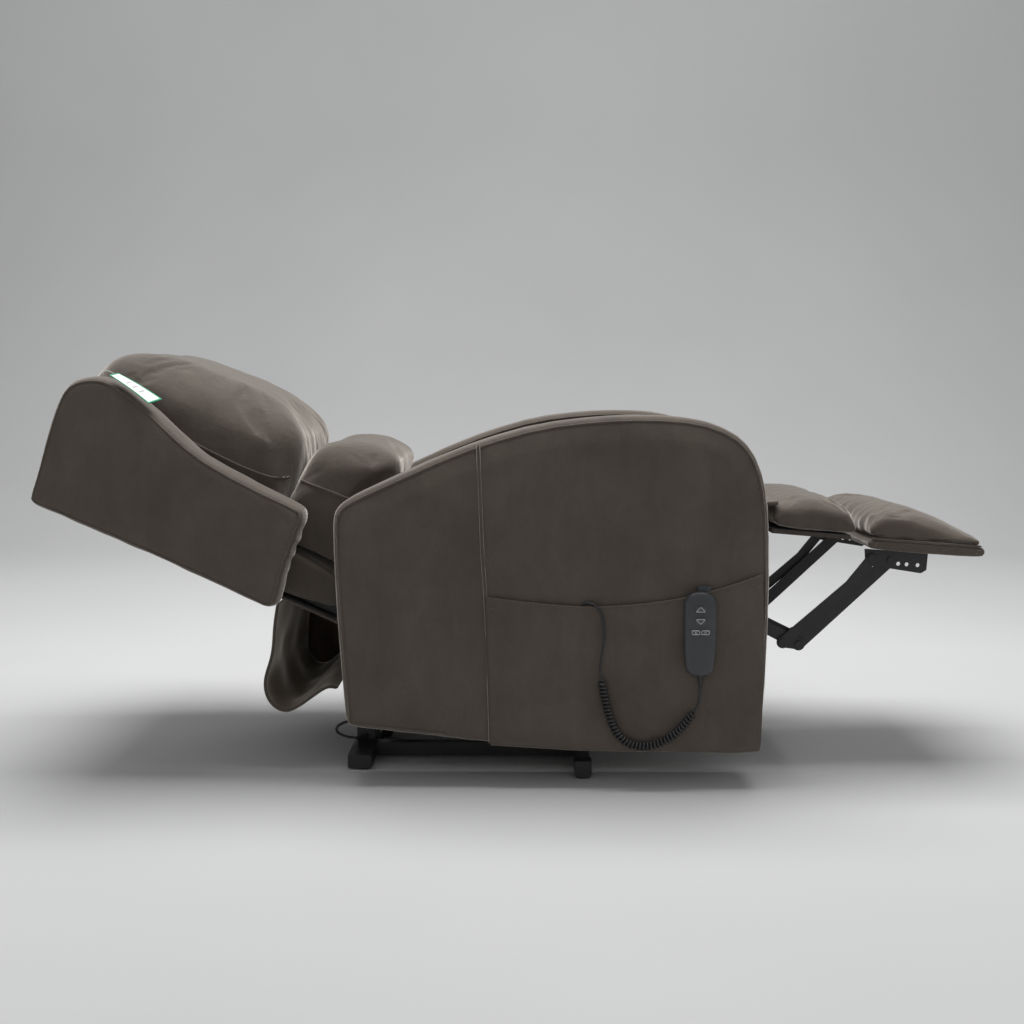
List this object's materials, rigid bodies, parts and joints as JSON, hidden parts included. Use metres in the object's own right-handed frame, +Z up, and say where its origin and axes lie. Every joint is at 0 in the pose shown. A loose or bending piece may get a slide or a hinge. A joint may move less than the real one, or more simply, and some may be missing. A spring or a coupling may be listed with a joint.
{
  "type": "lift recliner chair",
  "caption": "Upholstered power lift recliner, shown reclined with its footrest out; lifts, tilts, reclines and folds its footrest, with a corded handset in a side pocket.",
  "frame": {"origin": "on the floor, midway along the chair's overall length and width", "axes": "+X the way the sitter faces, +Y to the sitter's left, +Z up"},
  "size_m": [1.7698, 0.7852, 0.8008],
  "materials": {
    "black_steel": "satin black powder coat",
    "plated_steel": "zinc plated",
    "spring_steel": "oiled wire",
    "rod_chrome": "polished",
    "motor_plastic": "moulded, fine texture",
    "cap_plastic": "moulded black",
    "glide_plastic": "slick nylon",
    "upholstery": "brushed microfibre with a soft nap",
    "panel_cloth": "plain woven backing cloth",
    "board_wood": "raw plywood",
    "handset_plastic": "fine moulded texture",
    "button_plastic": "rubbery keys with a silver outline",
    "lead_rubber": "satin cable jacket",
    "tag_card": "printed card"
  },
  "bodies": {
    "base": {"base_rear_tube": "black_steel", "base_front_tube": "black_steel", "base_side_rails": "black_steel", "base_end_caps": "cap_plastic", "base_brackets": "black_steel", "power_box": "motor_plastic", "power_lead": "lead_rubber"},
    "lift_arms": {"lift_arms": "black_steel", "lift_cross_tube": "black_steel"},
    "lift_frame": {"lift_frame": "black_steel"},
    "lift_links": {"lift_links": "black_steel"},
    "lift_motor": {"lift_motor": "motor_plastic"},
    "lift_rod": {"lift_rod": "rod_chrome"},
    "chair": {"side_plates": "black_steel", "chair_fasteners": "plated_steel", "chair_cross_tubes": "black_steel", "glide_blocks": "glide_plastic", "seat_frame": "black_steel", "seat_springs": "spring_steel", "seat_cushion": "upholstery", "arm_boards": "board_wood", "arm_cover_left": "upholstery", "arm_cover_right": "upholstery", "side_pocket": "upholstery", "handset_body": "handset_plastic", "handset_clip": "handset_plastic", "strain_relief": "lead_rubber", "handset_lead_lower": "lead_rubber", "handset_lead_coil": "lead_rubber", "handset_lead_upper": "lead_rubber", "calf_hinge_pins": "plated_steel", "rear_flap": "upholstery"},
    "back": {"rear_panel": "panel_cloth", "back_frame": "black_steel", "recline_lever": "black_steel", "back_core": "upholstery", "lumbar_cushion": "upholstery", "head_cushion": "upholstery", "wing_left": "upholstery", "wing_right": "upholstery", "hang_tag": "tag_card"},
    "recline_motor": {"recline_motor": "motor_plastic"},
    "recline_rod": {"recline_rod": "rod_chrome"},
    "lower_front": {"lower_front_links": "black_steel", "drive_shaft": "plated_steel"},
    "upper_front": {"upper_front_links": "black_steel"},
    "footrest": {"footrest_brackets": "black_steel", "foot_board": "upholstery", "foot_pad": "upholstery"},
    "upper_rear": {"upper_rear_links": "black_steel"},
    "lower_rear": {"lower_rear_links": "black_steel"},
    "calf": {"calf_board": "panel_cloth", "calf_pad": "upholstery", "calf_hinges": "black_steel"},
    "footrest_motor": {"footrest_motor": "motor_plastic"},
    "footrest_rod": {"footrest_rod": "rod_chrome"},
    "raise_button": {"raise_button": "button_plastic"},
    "lower_button": {"lower_button": "button_plastic"},
    "recline_out_button": {"recline_out_button": "button_plastic"},
    "recline_in_button": {"recline_in_button": "button_plastic"}
  },
  "joints": [
    {"name": "lift", "type": "hinge", "parent": "base", "child": "lift_arms", "pos_m": [0.1, 0, 0.1], "axis": [0, 1, 0], "range_deg": [0, 70]},
    {"name": "lift_frame_tilt", "type": "hinge", "parent": "lift_arms", "child": "lift_frame", "pos_m": [-0.2, 0, 0.13], "axis": [0, 1, 0], "range_deg": [-50, 0]},
    {"name": "lift_links_turn", "type": "hinge", "parent": "base", "child": "lift_links", "pos_m": [0.06, 0, 0.06], "axis": [0, 1, 0], "range_deg": [0, 67.9]},
    {"name": "lift_motor_turn", "type": "hinge", "parent": "base", "child": "lift_motor", "pos_m": [-0.255, 0, 0.06], "axis": [0, 1, 0], "range_deg": [-20.21, 0]},
    {"name": "lift_rod_stroke", "type": "slide", "parent": "lift_motor", "child": "lift_rod", "axis": [0.9989, 0, 0.047], "range_m": [0, 0.0644]},
    {"name": "glide", "type": "slide", "parent": "lift_frame", "child": "chair", "axis": [1, 0, 0], "range_m": [-0.12, 0]},
    {"name": "recline", "type": "hinge", "parent": "chair", "child": "back", "pos_m": [-0.19, 0, 0.33], "axis": [0, 1, 0], "range_deg": [0, 50], "deforming": ["rear_flap"]},
    {"name": "recline_motor_turn", "type": "hinge", "parent": "chair", "child": "recline_motor", "pos_m": [0.15, 0, 0.25], "axis": [0, 1, 0], "range_deg": [-0.10872, 0]},
    {"name": "recline_rod_stroke", "type": "slide", "parent": "recline_motor", "child": "recline_rod", "axis": [-1, 0, 0.0097], "range_m": [0, 0.07184]},
    {"name": "footrest", "type": "hinge", "parent": "chair", "child": "lower_front", "pos_m": [0.31, 0, 0.36], "axis": [0, 1, 0], "range_deg": [0, 97.19]},
    {"name": "knee", "type": "hinge", "parent": "lower_front", "child": "upper_front", "pos_m": [0.537, 0, 0.241], "axis": [0, 1, 0], "range_deg": [-74.3, 0]},
    {"name": "foot_board_tilt", "type": "hinge", "parent": "upper_front", "child": "footrest", "pos_m": [0.709, 0, 0.403], "axis": [0, 1, 0], "range_deg": [0, 63.11]},
    {"name": "upper_rear_turn", "type": "hinge", "parent": "footrest", "child": "upper_rear", "pos_m": [0.672, 0, 0.406], "axis": [0, 1, 0], "range_deg": [-64.48, 0]},
    {"name": "lower_rear_turn", "type": "hinge", "parent": "chair", "child": "lower_rear", "pos_m": [0.30529, 0, 0.38353], "axis": [0, 1, 0], "range_deg": [0, 94.95]},
    {"name": "calf_turn", "type": "hinge", "parent": "chair", "child": "calf", "pos_m": [0.435, 0, 0.49], "axis": [0, 1, 0], "range_deg": [0, 86]},
    {"name": "footrest_motor_turn", "type": "hinge", "parent": "chair", "child": "footrest_motor", "pos_m": [0.06, 0, 0.242], "axis": [0, 1, 0], "range_deg": [-1.32, 0]},
    {"name": "footrest_rod_stroke", "type": "slide", "parent": "footrest_motor", "child": "footrest_rod", "axis": [0.9518, 0, 0.3066], "range_m": [-0.07475, 0]},
    {"name": "raise_press", "type": "slide", "parent": "chair", "child": "raise_button", "axis": [0, 1, 0], "range_m": [0, 0.001], "stiffness_N_per_m": 1200},
    {"name": "lower_press", "type": "slide", "parent": "chair", "child": "lower_button", "axis": [0, 1, 0], "range_m": [0, 0.001], "stiffness_N_per_m": 1200},
    {"name": "recline_out_press", "type": "slide", "parent": "chair", "child": "recline_out_button", "axis": [0, 1, 0], "range_m": [0, 0.001], "stiffness_N_per_m": 1200},
    {"name": "recline_in_press", "type": "slide", "parent": "chair", "child": "recline_in_button", "axis": [0, 1, 0], "range_m": [0, 0.001], "stiffness_N_per_m": 1200}
  ],
  "couplings": [
    {"joint": "lift_frame_tilt", "follows": "lift", "ratio": -0.71429},
    {"joint": "lift_links_turn", "follows": "lift", "ratio": 0.97001},
    {"joint": "lift_motor_turn", "follows": "lift", "ratio": -0.28865},
    {"joint": "lift_rod_stroke", "follows": "lift", "m_per_rad": 0.052711},
    {"joint": "glide", "follows": "recline", "m_per_rad": -0.13751},
    {"joint": "recline_motor_turn", "follows": "recline", "ratio": -0.0021345},
    {"joint": "recline_rod_stroke", "follows": "recline", "m_per_rad": 0.082325},
    {"joint": "knee", "follows": "footrest", "ratio": -0.76443},
    {"joint": "foot_board_tilt", "follows": "footrest", "ratio": 0.64929},
    {"joint": "upper_rear_turn", "follows": "footrest", "ratio": -0.66339},
    {"joint": "lower_rear_turn", "follows": "footrest", "ratio": 0.97689},
    {"joint": "calf_turn", "follows": "footrest", "ratio": 0.88487},
    {"joint": "footrest_motor_turn", "follows": "footrest", "ratio": -0.013529},
    {"joint": "footrest_rod_stroke", "follows": "footrest", "m_per_rad": -0.044067}
  ]
}
